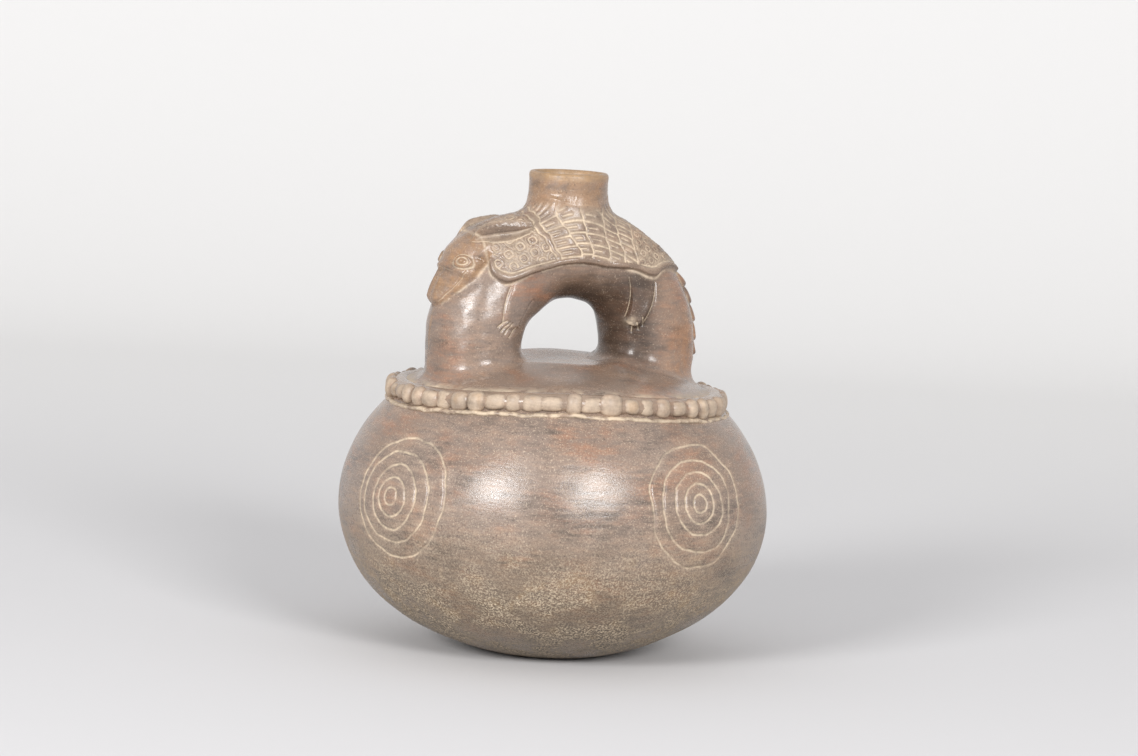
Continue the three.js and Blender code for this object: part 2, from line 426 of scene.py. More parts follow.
# %% The plain tube
REACH, ARCH_HEIGHT = 47.2, 157.0
LEG_TUBE, CROWN_TUBE, BORE = 24.6, 22.2, 17.0
SPOUT_RADIUS, SPOUT_BORE, SPOUT_WALL_FROM = 20.4, 16.4, 205.0
DOME_EDGE, DOME_HEIGHT, DOME_DISH = 34.0, 151.3, 1.6
COLLAR_INNER = 79.5
degree = math.pi / 180


def dome_height(radius):
    """Height of the shoulder above the table at a distance from the axis."""
    share = np.clip((COLLAR_INNER - radius) / (COLLAR_INNER - DOME_EDGE), -0.2, 1)
    slope = COLLAR_HIGH - 1 + (DOME_HEIGHT - COLLAR_HIGH + 1) * (0.62 * share + 0.38 * np.sin(
        np.clip(share, 0, 1) * np.pi / 2))
    return slope - DOME_DISH * smooth(DOME_EDGE - radius, 0, 26)


def tube_radius(along):
    return CROWN_TUBE + (LEG_TUBE - CROWN_TUBE) * smooth(np.abs(along), 15, 80)


def tube_point(along, turn, radius):
    """The point at a radius from the tube's middle line; along and turn are in degrees."""
    bent = np.clip(along, -90, 90) * degree
    drop = np.maximum(np.abs(along) - 90, 0) * degree * REACH
    far = REACH + radius * np.cos(turn * degree)
    return np.stack([
        -np.sin(bent) * far, radius * np.sin(turn * degree),
        ARCH_HEIGHT + np.cos(bent) * far - drop,
    ], -1)


def tube_place(points):
    """(along, turn, radius) of a point: the reverse of tube_point."""
    x, y, z = points.T
    above = z >= ARCH_HEIGHT
    far = np.where(above, np.hypot(x, z - ARCH_HEIGHT), np.abs(x))
    along = np.where(
        above, np.arctan2(-x, z - ARCH_HEIGHT) / degree,
        -np.sign(x) * (90 + (ARCH_HEIGHT - z) / REACH / degree),
    )
    return along, np.arctan2(y, far - REACH) / degree, np.hypot(far - REACH, y)


def nearer(near, where, gap):
    """The smaller distance where a line is drawn, and the old one elsewhere."""
    return np.where(where, np.minimum(near, gap), near)


def arc(side):
    """Millimetres along the tube in one degree, at this many degrees round it."""
    return degree * (REACH + LEG_TUBE * np.cos(side * degree))


ACROSS = degree * LEG_TUBE  # millimetres round the tube in one degree


# %% [markdown]
# The shell covers the crown and stops in a rolled rim on each side, with a lobe at the shoulder.
# `shell_depth` is how far inside that outline a place lies. Seven scored lines part the bands;
# shorter ones part the rows; the shoulder and the rump carry little rings with dots.

# %% Outline of the shell
def shell_depth(along, turn):
    """Millimetres inside the shell's outline, negative outside it."""
    side = np.abs(turn)
    rim = 97 - 10 * smooth(along, 18, 46) - 21 * smooth(-along, 14, 46)
    front = 51.5 - 9 * smooth(60 - side, 0, 34) - 5 * smooth(side, 74, 96)
    back = -57 + 9 * smooth(side, 8, 58) + 2 * smooth(side, 60, 90)
    inside = softest((rim - side) * degree * LEG_TUBE, (front - along) * arc(side), 9.0)
    return softest(inside, (along - back) * arc(side), 7.0)


# %% Scored lines of the shell
BAND_LINES = (  # degrees along at the back, and how far each slips to the tail at the rim
    (20.6, 4.0), (17.6, 4.0), (10.0, 9.5), (0.2, 6.8), (-10.6, 7.2), (-18.6, 9.6), (-26.5, 11.0),
)
ROW_PITCH, ROWS_FROM = 12.2, 86.0  # degrees round between rows, and the lowest row
RING_STEP, RING_ROW = 6.9, 14.2  # degrees along and round between ringed scales


def line_place(index, side):
    back, slip = BAND_LINES[index]
    return back - slip * smooth(side, 40, 94)


def shell_lines(along, turn):
    """Distance in millimetres to the nearest scored line of the shell's pattern."""
    side = np.abs(turn)
    near = np.full(along.shape, 99.0)
    sway = 0.9 * np.sin(turn * 0.21 + along * 0.07) + 0.5 * np.sin(turn * 0.5 - 1.3)
    edge = 93 - 19 * smooth(-along, 14, 44)
    for index in range(len(BAND_LINES)):
        gap = np.abs(along + sway * 0.5 - line_place(index, side)) * arc(side)
        near = nearer(near, (side < edge) & (side > 3), gap)
    for index in range(1, len(BAND_LINES) - 1):
        low, after = line_place(index, side), line_place(index + 1, side)
        band = (along <= low) & (along >= after) & (side > 14) & (side < edge)
        row = (ROWS_FROM - side + 1.7 * np.sin(index * 2.4 + np.sign(turn))) / ROW_PITCH
        whole = np.round(row)
        near = nearer(near, band & (whole >= 0), np.abs(row - whole) * ROW_PITCH * ACROSS)
        middle = np.abs(row - np.floor(row) - 0.5) * ROW_PITCH * ACROSS
        share = (low - along) / np.maximum(low - after, 1)
        reach = np.maximum(np.abs(share - 0.36) - 0.2, 0) * (low - after) * arc(side)
        near = nearer(near, band & (row > 0), np.hypot(middle, reach) + 0.12)
    return np.where(side < edge, near, 99.0)


def ring_lines(along, turn):
    """Distance to the rings, dots and cell lines of the shoulder and the rump."""
    side = np.abs(turn)
    near = np.full(along.shape, 99.0)
    slope = smooth(side, 40, 94)
    shoulder = (along > 21.8 - 4 * slope) & (side < 79 - 0.55 * (along - 30))
    rump = (along < -27.5 - 11 * slope) & (side < 68) & (along > -52)
    for zone, start, scale in ((shoulder, 20.4, 1.0), (rump, -34.6, 0.78)):
        row = (side - 12.5) / (RING_ROW * scale)
        whole = np.round(row)
        column = (along - start) / (RING_STEP * scale) + 0.3 * (whole % 2)
        x = (column - np.round(column)) * RING_STEP * scale * arc(side)
        y = (row - whole) * RING_ROW * scale * ACROSS
        squared = (np.abs(x) ** 3 + np.abs(y) ** 3) ** (1 / 3)
        ring = np.abs(squared - 1.95 * scale) + 0.12
        dot = np.hypot(x, y) + 0.1
        cell = np.abs(squared - 3.3 * scale) + 0.3
        near = nearer(near, zone & (whole >= 0), np.minimum(np.minimum(ring, dot), cell))
    return near


# %% [markdown]
# The head lies down the outer side of the leg: a broad skull, a brow that steps down to a narrow
# snout, almond eyes scored twice round, and long ears laid back like leaves with a raised rim.

# %% Head
BROW, NOSE = 59.6, 74.2  # degrees along


def jaw(along):
    """How far round the tube the jaw reaches, in degrees."""
    wide = 43 - 9 * smooth(along, 56, 65) - 14 * smooth(along, 63, 72)
    return np.maximum(wide * np.sqrt(np.clip((NOSE - along) / 3.4, 0, 1)), 0.5)


def head_height(along, turn):
    side = np.abs(turn)
    crown = 8.9 * smooth(along, 16, 44) - 1.6 * smooth(along, 52, 59)
    snout = 4.5 + 0.5 * (70 - along) / 10
    brow = smooth(along, BROW - 1, BROW + 1)
    high = crown * (1 - brow) + snout * brow
    share = np.clip(side / jaw(along), 0, 1)
    power = 4.2 - 2.2 * smooth(along, 57, 63)
    body = high * np.clip(1 - share**power, 0, 1) ** 0.55
    nose = np.sqrt(np.clip((NOSE - along) / 2.4, 0, 1))
    ridge_line = 0.9 * brow * ridge(side, 7.5, 3.0)
    skull = body * nose * smooth(along, 30, 43) + ridge_line * nose
    mound = (2.6 + 6.3 * smooth(along, 16, 45)) * (1 - smooth(side, 16, 66))
    return np.maximum(skull, mound * (1 - smooth(along, 44, 50)))


HEAD_ALONG, HEAD_ROUND = degree * 77, degree * 28  # millimetres in a degree, on the head
EYE, EYE_SCALE = (54.7, 26.5), (degree * 76, degree * 31)  # degrees along and round, and scale
EYE_RINGS, EYE_EDGE, EYE_LEAN = (1.9, 3.7), 4.6, 0.35
EAR_ROOT, EAR_TIP, EAR_HALF = (46.5, 19.0), (20.5, 41.5), 5.0
EAR_SCALE = (degree * 71, degree * 27)


def eye_lines(along, turn):
    """(distance to the eye's scored rings, distance from its middle)"""
    x = (along - EYE[0]) * EYE_SCALE[0]
    y = (np.abs(turn) - EYE[1]) * EYE_SCALE[1]
    u = y * math.cos(EYE_LEAN) - x * math.sin(EYE_LEAN)
    v = x * math.cos(EYE_LEAN) + y * math.sin(EYE_LEAN)
    reach = np.hypot(u / 1.7, v)
    inner, outer = (np.abs(reach - ring) + 0.12 for ring in EYE_RINGS)
    near = np.minimum(np.minimum(inner, outer), reach + 0.2)
    return np.where(reach < EYE_EDGE, near, 99.0), reach


def slanted(along, turn, start, end, scale):
    """(share of the way from start to end, millimetres off that line, length of the line)"""
    way = np.array([(end[0] - start[0]) * scale[0], (end[1] - start[1]) * scale[1]])
    length = np.hypot(*way)
    way /= length
    x, y = (along - start[0]) * scale[0], (np.abs(turn) - start[1]) * scale[1]
    return (x * way[0] + y * way[1]) / length, -x * way[1] + y * way[0], length


def ear_place(along, turn):
    """(share of the ear's length, millimetres off its middle, half its width there)"""
    run, off, _ = slanted(along, turn, EAR_ROOT, EAR_TIP, EAR_SCALE)
    return run, off, EAR_HALF * np.clip(np.sin(np.clip(run, 0, 1) * np.pi), 0, 1) ** 0.6


def ear_height(along, turn):
    run, off, width = ear_place(along, turn)
    across = np.abs(off / (width + 0.01))
    edge = smooth(1.2 - across, 0, 0.35)
    hollow = 3.2 - 2.6 * (1 - smooth(across, 0.2, 0.7)) * smooth(run, 0.1, 0.25)
    return np.where((run > 0) & (run < 1), edge * hollow * smooth(run, 0, 0.3) * smooth(1 - run, 0, 0.1), 0)


# %% Legs, paws and tail
HIND_LEG = ((-41.5, 80.0), (-67.0, 128.0), 7.0, 5.2)  # hip, paw, and half the width at each
FORE_LEG = ((46.0, 104.0), (74.0, 115.0), 8.5, 6.0)


def limb(along, turn, hip, paw, half_hip, half_paw):
    """(share of the length, signed distance inside the limb's outline in millimetres)."""
    middle = (hip[1] + paw[1]) / 2
    scale = (degree * (REACH + LEG_TUBE * math.cos(middle * degree)), degree * LEG_TUBE)
    run, off, length = slanted(along, turn, hip, paw, scale)
    half = half_hip + (half_paw - half_hip) * np.clip(run, 0, 1)
    return run, softest(half - np.abs(off), (1.0 - run) * length, 3.0)


def limb_height(along, turn):
    run, depth = limb(along, turn, *HIND_LEG)
    hind = (1.1 + 2.2 * smooth(run, 0.1, 0.9)) * smooth(depth, 0, 2.2) * (run > -0.3)
    run, depth = limb(along, turn, *FORE_LEG)
    fore = 1.0 * smooth(depth, -0.4, 2.0) * smooth(run, -0.2, 0.1)
    return np.maximum(hind, fore)


CLAWS = (  # (along, round) at both ends of each stroke, fore paw and hind paw
    ((75.7, 94.0), (69.7, 102.3)), ((78.0, 99.5), (70.0, 107.0)), ((79.2, 105.3), (69.7, 112.0)),
    ((80.9, 113.8), (71.5, 120.3)),
    ((-63.0, 109.0), (-70.0, 112.0)), ((-65.0, 117.0), (-72.0, 119.0)),
    ((-66.0, 125.0), (-72.5, 128.0)),
)


def stroke(along, side, start, end):
    """Distance to a short straight stroke on the leg."""
    scale = np.array([degree * (REACH - 8), degree * LEG_TUBE])
    way = (np.array(end) - start) * scale
    here = np.stack([along - start[0], side - start[1]], -1) * scale
    share = np.clip(here @ way / (way @ way), 0, 1)
    return np.linalg.norm(here - share[..., None] * way, axis=-1)


def limb_lines(along, turn):
    """Distance to the scored outlines and claws of the legs."""
    near = np.full(along.shape, 99.0)
    for leg in (HIND_LEG, FORE_LEG):
        run, depth = limb(along, turn, *leg)
        near = nearer(near, (run > 0.02) & (run < 0.86), np.abs(depth) + 0.2)
    for start, end in CLAWS:
        near = np.minimum(near, stroke(along, np.abs(turn), start, end) + 0.1)
    return near


TAIL_FROM, TAIL_TO, TAIL_RINGS = -50.0, -103.0, 7


def tail(along, turn):
    """(height, distance to the nearest scored ring) of the tail on the outer side."""
    share = (along - TAIL_FROM) / (TAIL_TO - TAIL_FROM)
    half = 15.5 - 4.5 * np.clip(share, 0, 1)
    across = np.abs(turn) / half
    bow = share * TAIL_RINGS + 0.28 * across**2
    step = bow - np.floor(bow)
    inside = smooth(1.12 - across, 0, 0.22) * smooth(share, -0.02, 0.03) * smooth(1 - share, 0, 0.2)
    height = (1.5 + 2.4 * step * (1 - step**8)) * np.sqrt(np.clip(1.15 - across**2, 0, 1)) * inside
    size = abs(TAIL_TO - TAIL_FROM) / TAIL_RINGS * degree * 71
    near = np.minimum(np.minimum(step, 1 - step) * size, np.abs(across - 1.05) * half * 0.43)
    return height, np.where((inside > 0.1) & (across < 1.3), near, 99.0)


# %% The relief as a whole
EAR_HOLE, EAR_HOLE_DEPTH = (49.2, 38.0), 3.2  # the pierced hole behind each eye
HOLE_SCALE = (degree * 72, degree * 28)


def ear_lines(along, turn):
    """Distance to the scored outline of the ears, and 1 in their hollows."""
    run, off, width = ear_place(along, turn)
    across = np.abs(off / (width + 0.01))
    near = np.where((run > 0.02) & (run < 0.99), np.abs(np.abs(off) - 1.22 * width) + 0.15, 99.0)
    return near, smooth(0.62 - across, 0, 0.25) * smooth(run, 0.08, 0.2) * (run < 0.97)


def ear_hole(along, turn):
    x = (along - EAR_HOLE[0]) * HOLE_SCALE[0]
    y = (np.abs(turn) - EAR_HOLE[1]) * HOLE_SCALE[1]
    return ridge(np.hypot(x, y), 0, 1.1)


def relief(along, turn):
    """(height over the tube, distance to the nearest scored line, inside the shell or not)."""
    side = np.abs(turn)
    depth = shell_depth(along, turn)
    ear = ear_height(along, turn)
    tail_height, tail_near = tail(along, turn)
    rolled_rim = 0.9 * ridge(depth, 2.2, 1.7) * smooth(side, 14, 34)
    height = smooth(depth, -0.5, 0.9) * (2.5 + rolled_rim)
    height = np.where(along > 0, np.maximum(height, head_height(along, turn)), height)
    height = np.maximum(height + 0.85 * ear, limb_height(along, turn))
    height = np.maximum(height, tail_height)

    pattern = np.minimum(shell_lines(along, turn), ring_lines(along, turn))
    lines = np.where((depth > 3.6) & (ear < 0.3), pattern, 99.0)
    rimmed = ((along > 18) & (side > 50)) | (along < -36)
    lines = nearer(lines, rimmed & (depth > 1), np.abs(depth - 4.0) + 0.1)
    eyes, reach = eye_lines(along, turn)
    on_head = along > 43
    lines = nearer(lines, on_head, eyes)
    mouth = np.abs(side - jaw(along) * 0.82) * HEAD_ROUND + 0.25
    lines = nearer(lines, (along > 57) & (along < 72.5), mouth)
    lines = nearer(lines, side < 20, np.abs(along - BROW) * HEAD_ALONG + 0.35)
    lines = nearer(lines, depth < -0.5, limb_lines(along, turn))
    lines = np.minimum(np.minimum(lines, tail_near), ear_lines(along, turn)[0])
    socket = 0.5 * smooth(3.6 - reach, 0, 0.6) - 0.4 * ridge(reach, EYE_EDGE, 0.9)
    return height + socket * on_head, lines, smooth(depth, -0.2, 0.5)


SPOUT_BLEND, DOME_BLEND, MOST_FILL = 9.0, 7.5, 9.0


def blended(points, away):
    """How much clay fills the corners at the shoulder and the spout, along each ray."""
    fill = np.zeros(len(points))
    for _ in range(18):
        here = points + away * fill[:, None]
        spout = np.hypot(here[:, 0], here[:, 1]) - SPOUT_RADIUS
        spout = np.where(here[:, 2] > SPOUT_WALL_FROM, spout, 99.0)
        dome = here[:, 2] - dome_height(np.hypot(here[:, 0], here[:, 1]))
        gap = softest(softest(fill, spout, SPOUT_BLEND), dome, DOME_BLEND)
        fill = np.clip(fill - 0.6 * gap, 0, MOST_FILL)
    return fill


# %% The stirrup's mesh
LEG_END = 90 + 24 / REACH / degree


def stirrup_base(net):
    return tube_point(net[:, 0], net[:, 1], tube_radius(net[:, 0]) + 2)


def stirrup_size(net):
    along, turn = net.T
    lines = relief(along, turn)[1]
    fine = np.clip(0.48 + 0.5 * np.maximum(lines - 1.0, 0), 0.48, 2.2)
    depth = np.abs(shell_depth(along, turn))
    fine = np.minimum(fine, 0.55 + 0.4 * np.maximum(depth - 1.2, 0))
    run, off, width = ear_place(along, turn)
    fine = nearer(fine, (run > -0.1) & (run < 1.1), 0.5 + 0.4 * np.abs(np.abs(off) - width))
    rise = np.abs(np.abs(turn) - jaw(along)) * HEAD_ROUND
    fine = nearer(fine, (along > 42) & (along < 75), 0.6 + 0.35 * rise)
    spout = np.abs(np.hypot(*stirrup_base(net)[:, :2].T) - SPOUT_RADIUS - 3)
    return nearer(fine, np.abs(along) < 30, 0.9 + 0.3 * spout)


def stirrup_surface(net):
    along, turn = net.T
    radius = tube_radius(along)
    height, lines, _ = relief(along, turn)
    middle = tube_point(along, turn, 0 * radius)
    under = smooth(np.abs(turn), 110, 165)
    radius = radius + under * (1.6 * ridge(along, 36, 20) - 2.4 * ridge(along, -42, 20))
    base = tube_point(along, turn, radius + height)
    away = (base - middle) / np.linalg.norm(base - middle, axis=1, keepdims=True)
    hand = 0.35 * wobble(base, 34, 31) + 0.1 * wobble(base, 9, 32)
    groove = TOP_GROOVE * ridge(lines, 0, LINE) + EAR_HOLE_DEPTH * ear_hole(along, turn)
    fill = blended(base, away)
    groove *= 1 - smooth(fill, 5.5, 8.5)
    return base + away * (hand + fill - groove)[:, None]


def tube_form(name, stops, turns, base, size, surface):
    """A closed tube along the stirrup, its legs' ends capped inside the shoulder."""
    net, tris = refined(stops, turns, base, size)
    points = surface(net)
    caps = []
    for end in (stops[0], stops[-1]):
        rim = np.flatnonzero(np.isclose(net[:, 0], end))
        rim = rim[np.argsort(net[rim, 1])]
        points = np.concatenate([points, [points[rim[:-1]].mean(0)]])
        hub = np.full(len(rim) - 1, len(points) - 1)
        fan = np.stack([rim[:-1], rim[1:], hub], 1)
        caps.append(fan if end < 0 else fan[:, ::-1])
    return mesh_object(name, points, np.concatenate([tris, *caps]))


top = tube_form(
    "top", np.linspace(-LEG_END, LEG_END, 96), np.linspace(-180, 180, 49),
    stirrup_base, stirrup_size, stirrup_surface,
)
report(top)

# %% [markdown]
# The shoulder and the spout are turned forms. They are joined to the stirrup, then the passage is
# cut: one bore up both legs and over the crown, and one down the spout that meets it. So the
# bottle is hollow all the way, as the real one must be to pour.

# %% Shoulder, spout and passage
shoulder_radii = np.linspace(0, COLLAR_INNER, 34)
shoulder = [[radius, float(dome_height(radius))] for radius in shoulder_radii]
shoulder += [[83.6, 134.4], [84.2, SEAM + 0.3], [77.5, SEAM + 0.3]]
shoulder += [[radius, float(dome_height(radius)) - WALL] for radius in shoulder_radii[31::-3]]
shoulder += [[0.0, float(dome_height(0.0)) - WALL]]
spout = [
    [0, 196.0], [19.4, 196.0], [19.9, 204.0], [20.6, 221.0], [20.5, 228.0], [20.2, 236.0],
    [20.1, 241.0], [20.3, 244.0], [20.0, 245.3], [19.2, 246.0], [18.1, 246.0], [17.2, 245.3],
    [16.7, 244.0], [16.4, 241.0], [0, 241.0],
]
spout_bore = [
    [0, 200.0], [SPOUT_BORE, 200.0], [SPOUT_BORE, 241.0], [16.9, 244.0], [17.4, 245.3],
    [18.0, 246.3], [0, 246.3],
]


def crooked(made, amount, seed):
    """Moves every point sideways by a smooth random few tenths, as a hand would."""
    points = vertices(made)
    shift = np.stack([wobble(points, 40, seed + side) for side in range(3)], 1) * [1, 1, 0.5]
    move_to(made, points + shift * amount)
    return made


BORE_END = 90 + 40 / REACH / degree
plain = lambda net: tube_point(net[:, 0], net[:, 1], np.full(len(net), BORE))
passage = tube_form(
    "passage", np.linspace(-BORE_END, BORE_END, 80), np.linspace(-180, 180, 33),
    plain, unsplit, plain,
)
top = joined(top, [
    (crooked(turned("shoulder", shoulder, 200), 0.35, 50), "UNION"),
    (turned("spout", spout, 128), "UNION"),
    (passage, "DIFFERENCE"),
    (turned("spout_bore", spout_bore, 96), "DIFFERENCE"),
])
report(top)

# %% [markdown]
# ## What the materials need to know
# Cream slip lies in the scored lines, and the worn shell is paler than the legs. The materials
# read these as attributes: `line` is 1 in the middle of a scored line, `shell` is 1 on the
# shell, `tan` and `warm` are the browner and redder clay, `dark` is painted shade under the
# arch, in the ear hollows and in the pierced ear holes, and `dust` is pale.
# They are worked out afresh from where each point lies, since the joining has made new points.

# %% Attributes of the bowl
points = vertices(bowl)
turn = np.mod(np.arctan2(points[:, 1], points[:, 0]), 2 * np.pi)
radius = np.hypot(points[:, 0], points[:, 1])
near = medallion_lines(turn, run_at(points[:, 2]), radius)
near = np.where((radius > 70) & (points[:, 2] > 20), near, 99.0)
paint(bowl, line=ridge(near, 0, LINE), halo=ridge(near, 0, 3.2))
lifted(bowl)
print(f"{(near < LINE).mean():.0%} of the bowl's points lie in a scored line")

# %% Attributes of the top
def most(first, *others):
    for other in others:
        first = np.maximum(first, other)
    return first


points = vertices(top)
x, y, z = points.T
along, turn, radius = tube_place(points)
side = np.abs(turn)
height, near, inside = relief(along, turn)
axis = np.hypot(x, y)
on_tube = np.abs(radius - tube_radius(along) - height - 4) < 7
on_spout = smooth(z, 225, 233) * smooth(25.0 - axis, 0, 4)
on_shoulder = smooth(dome_height(axis) + 3.5 - z, 0, 4)
clear = on_tube * (1 - on_spout) * (1 - on_shoulder)
free = clear * (1 - inside)

head = smooth(along, 40, 47) * smooth(jaw(along) + 3 - side, 0, 3)
tail_side = smooth(x, 40, 62) * smooth(188 - z, 0, 26) * free
scallops = 0.4 * smooth(tail(along, turn)[0], 0.2, 1.0) * clear
plateau = smooth(36 - axis, 0, 5) * on_shoulder
# painted shade: the clay inside and under the arch is painted dark, darkest beside the hind leg
shade_under_arch = most(
    smooth(x, 4, 20) * smooth(50 - x, 0, 16) * smooth(204 - z, 0, 14) * free,
    smooth(side, 96, 140) * smooth(34 - along, 0, 30) * free,
    ridge(along, -54, 15) * ridge(side, 118, 26) * free,
)
# painted shade in the hollows of the ears
ear_hollow_shade = 0.75 * ear_lines(along, turn)[1] * clear
jaw_gap = ridge((side - jaw(along)) * HEAD_ROUND, 0.8, 0.7) * clear * (along > 47) * (along < 73)
crevice = most(ridge(shell_depth(along, turn), -0.7, 0.7) * clear, jaw_gap)
_, off, width = ear_place(along, turn)
ear_rim = ridge(np.abs(off / (width + 0.01)), 0.85, 0.2) * (ear_height(along, turn) > 0.4) * clear
paw = ridge(np.hypot((along + 63) * 0.8, (side - 124) * 0.43), 0, 3.4) * clear
collar_edge = smooth(139.5 - z, 0, 3) * (axis > 60)
beside_lines = 0.4 * ridge(near, 0, 1.6) * inside * clear
paint(
    top, line=ridge(near, 0, LINE * 0.78) * clear, shell=inside * clear,
    tan=most(head * clear, on_spout * 0.8), lip=smooth(z, 241, 244.5) * (axis < 24),
    warm=most(tail_side, scallops, 0.3 * plateau),
    # painted shade, all of it: under the arch, in the ear hollows and in the pierced ear holes
    dark=most(shade_under_arch, ear_hollow_shade, 1.3 * ear_hole(along, turn)),
    dust=most(0.8 * crevice, 0.5 * ear_rim, paw, collar_edge, beside_lines),
)
lifted(top)
print(f"{inside.mean():.0%} of the top's points lie on the shell")

# %% [markdown]
# ## Writing nodes
# Both the collar's tree and the materials are networks of nodes. `Nodes.add` makes any node from
# its type, its settings and its inputs, and a `Wire` is one output that sums and products can be
# written with: `1 - worn * 0.5` adds two Math nodes.

# %% Nodes and wires
class Wire:
    """One output of a node, usable in sums and products."""

    def __init__(self, nodes, socket):
        self.nodes, self.socket = nodes, socket

    def math(self, operation, one, other=0.0):
        return self.nodes.add("ShaderNodeMath", {"operation": operation}, {0: one, 1: other})

    def __add__(self, other):
        return self.math("ADD", self, other)

    def __radd__(self, other):
        return self.math("ADD", other, self)

    def __sub__(self, other):
        return self.math("SUBTRACT", self, other)

    def __rsub__(self, other):
        return self.math("SUBTRACT", other, self)

    def __mul__(self, other):
        return self.math("MULTIPLY", self, other)

    def __rmul__(self, other):
        return self.math("MULTIPLY", other, self)

    def sine(self):
        return self.math("SINE", self)

    def step(self, start, end):
        """0 before start and 1 after end, with a smooth rise between them."""
        settings = {"interpolation_type": "SMOOTHSTEP"}
        values = {"From Min": start, "From Max": end}
        return self.nodes.add("ShaderNodeMapRange", settings, {"Value": self, **values})


class Nodes:
    """Adds nodes to one tree."""

    def __init__(self, tree):
        self.tree = tree

    def add(self, kind, settings=None, inputs=None, out=0):
        node = self.tree.nodes.new(kind)
        for name, value in (settings or {}).items():
            setattr(node, name, value)
        for name, value in (inputs or {}).items():
            socket = node.inputs[name]
            if isinstance(value, Wire):
                self.tree.links.new(value.socket, socket)
            else:
                socket.default_value = value
        return Wire(self, node.outputs[out])

    def noise(self, place, size, seed=0.0, detail=3.0, rough=0.55):
        """Noise from 0 to 1 whose lumps are about `size` millimetres across."""
        return self.add("ShaderNodeTexNoise", {"noise_dimensions": "4D"}, {
            "Vector": place, "W": seed, "Scale": 1 / (size * MM), "Detail": detail,
            "Roughness": rough,
        })

    def stretched(self, place, x, y, z):
        return self.add("ShaderNodeVectorMath", {"operation": "MULTIPLY"}, {0: place, 1: (x, y, z)})

    def blend(self, factor, one, other):
        """The colour `one` where factor is 0 and `other` where it is 1."""
        settings = {"data_type": "RGBA"}
        return self.add("ShaderNodeMix", settings, {0: factor, 6: one, 7: other}, out=2)

    def attribute(self, name):
        return self.add("ShaderNodeAttribute", {"attribute_name": name}, out="Fac")


# %% [markdown]
# ## The collar
# The potter pressed a strip of clay round the joint of body and shoulder and nicked it into a row
# of flat beads. The same thing over and over along a ring is work for Geometry Nodes: a circle
# becomes the strip, and a small pillow is set on it at every step, each a little different in
# width, height and lean. Below the beads the strip's lower edge is left as a thin wavy lip.

# %% Tree of the collar
BEADS, COLLAR_RADIUS = 54, 84.2
NARROW_AT = 5.9  # radians round to where the beads lean most
collar_tree = bpy.data.node_groups.new("beaded_collar", "GeometryNodeTree")
collar_tree.is_modifier = True
collar_sizes = {}
for label, kind in (
    ("Beads", "Int"), ("Radius", "Float"), ("Height", "Float"), ("Bead width", "Float"),
    ("Bead height", "Float"), ("Unevenness", "Float"), ("Seed", "Int"), ("Clay", "Material"),
):
    socket = collar_tree.interface.new_socket(label, socket_type=f"NodeSocket{kind}")
    collar_sizes[label] = socket.identifier
collar_tree.interface.new_socket("Geometry", in_out="OUTPUT", socket_type="NodeSocketGeometry")
ring = Nodes(collar_tree)
given = collar_tree.nodes.new("NodeGroupInput")
size = {label: Wire(ring, given.outputs[label]) for label in collar_sizes}


def uneven(seed, low, high):
    """A random number for each bead, from the tree's own seed."""
    settings = {"data_type": "FLOAT"}
    values = {2: 1 + size["Unevenness"] * low, 3: 1 + size["Unevenness"] * high}
    return ring.add("FunctionNodeRandomValue", settings, {**values, 8: size["Seed"] + seed}, out=1)


def vector(x, y, z):
    return ring.add("ShaderNodeCombineXYZ", None, {"X": x, "Y": y, "Z": z})


print(f"the collar's tree takes {', '.join(collar_sizes)}")

# %% One bead and the row of them
block = ring.add("GeometryNodeMeshCube", None, {
    "Size": vector(1.14, 1.14, 1.14), "Vertices X": 2, "Vertices Y": 2, "Vertices Z": 2,
})
pillow = ring.add("GeometryNodeSubdivisionSurface", None, {"Mesh": block, "Level": 3})
spot = ring.add("ShaderNodeSeparateXYZ", None, {0: ring.add("GeometryNodeInputPosition")})
across, upward = (Wire(ring, spot.socket.node.outputs[i]) for i in (1, 2))
swell = (1 - (across * across * 4)) * (1 - upward * upward * 2.2)
pillow = ring.add("GeometryNodeSetPosition", None, {
    "Geometry": pillow, "Offset": vector(swell * 0.22, 0.0, 0.0),
})
face = (0.25 - across * across).step(0.06, 0.2) * (0.25 - upward * upward).step(0.03, 0.15)
pillow = ring.add("GeometryNodeStoreNamedAttribute", {"data_type": "FLOAT", "domain": "POINT"}, {
    "Geometry": pillow, "Name": "face", "Value": face,
})
row = ring.add("GeometryNodeCurvePrimitiveCircle", None, {
    "Resolution": 720, "Radius": size["Radius"],
})
spots = ring.add("GeometryNodeCurveToPoints", {"mode": "COUNT"}, {
    "Curve": row, "Count": size["Beads"],
})
index = ring.add("GeometryNodeInputIndex")
angle = index * (2 * math.pi / BEADS)
beyond = angle - NARROW_AT
narrow = beyond.step(-0.42, -0.1) * (1 - beyond.step(0.12, 0.42))
lean = uneven(1, -1.0, 1.0) * 0.55 - 0.55 + narrow * 0.32
slide = (uneven(2, -1.0, 1.0) - 1) * 0.0022
settled = ring.add("GeometryNodeSetPosition", None, {
    "Geometry": spots, "Offset": vector(
        slide * (angle.sine()) * -1, slide * (angle + math.pi / 2).sine(),
        size["Height"] + (uneven(3, -1.0, 1.0) - 1) * 0.0011,
    ),
})
beads = ring.add("GeometryNodeInstanceOnPoints", None, {
    "Points": settled, "Instance": pillow, "Rotation": vector(0.0, 0.0, angle), "Scale": vector(
        0.0052 * uneven(4, -0.8, 0.8), size["Bead width"] * uneven(5, -0.7, 0.9),
        size["Bead height"] * uneven(6, -0.7, 0.4),
    ),
})
beads = ring.add("GeometryNodeRotateInstances", None, {
    "Instances": beads, "Rotation": vector(lean, -0.1, 0.0),
})
beads = ring.add("GeometryNodeStoreNamedAttribute", {
    "data_type": "FLOAT", "domain": "INSTANCE",
}, {"Geometry": beads, "Name": "bead", "Value": uneven(7, -2.4, 0.0) * 0.5 + 0.5})
print(f"{BEADS} beads, one every {2 * math.pi * COLLAR_RADIUS / BEADS:.1f} mm")

